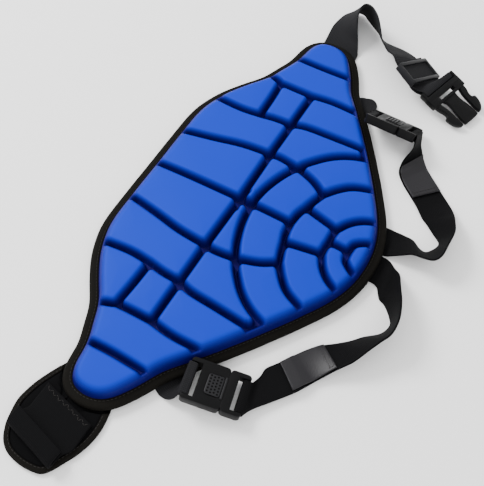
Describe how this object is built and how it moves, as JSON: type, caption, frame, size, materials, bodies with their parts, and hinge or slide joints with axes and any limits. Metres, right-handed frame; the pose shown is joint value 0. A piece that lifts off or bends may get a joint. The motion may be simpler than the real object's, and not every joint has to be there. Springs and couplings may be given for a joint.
{
  "type": "tailbone protector",
  "caption": "Foam tailbone protector with a groove-moulded face, a bound edge, a hook flap, waist webbing with a side-release plug and elastic leg straps in press buckles.",
  "frame": {"origin": "middle of the whole part's bounding box, at the surface that it lies on", "axes": "+Z out of the padded face, +X along the pad from the flap tip towards the waist webbing tip, +Y towards the pad's waist edge"},
  "size_m": [0.5644, 0.2736, 0.034],
  "materials": {
    "face_fabric": "satin",
    "back_fabric": "matte",
    "edge_tape": "matte",
    "webbing": "matte",
    "elastic": "matte",
    "hook_tape": "satin",
    "buckle_plastic": "satin",
    "grey_plastic": "satin"
  },
  "bodies": {
    "root": {"padded_panel": "face_fabric", "back_panel": "back_fabric", "edge_binding": "edge_tape", "flap": "back_fabric", "flap_binding": "edge_tape", "flap_band": "elastic", "waist_webbing": "webbing", "tri_glide": "grey_plastic", "side_release_plug": "buckle_plastic", "leg_strap_a": "elastic", "leg_strap_b": "elastic", "hook_tab_a": "hook_tape", "hook_tab_b": "hook_tape", "attach_webbing_a": "webbing", "attach_webbing_b": "webbing", "buckle_socket_a": "buckle_plastic", "buckle_socket_b": "buckle_plastic", "buckle_frame_a": "buckle_plastic", "buckle_frame_b": "buckle_plastic", "press_pad_a": "grey_plastic", "press_pad_b": "grey_plastic"}
  },
  "joints": []
}
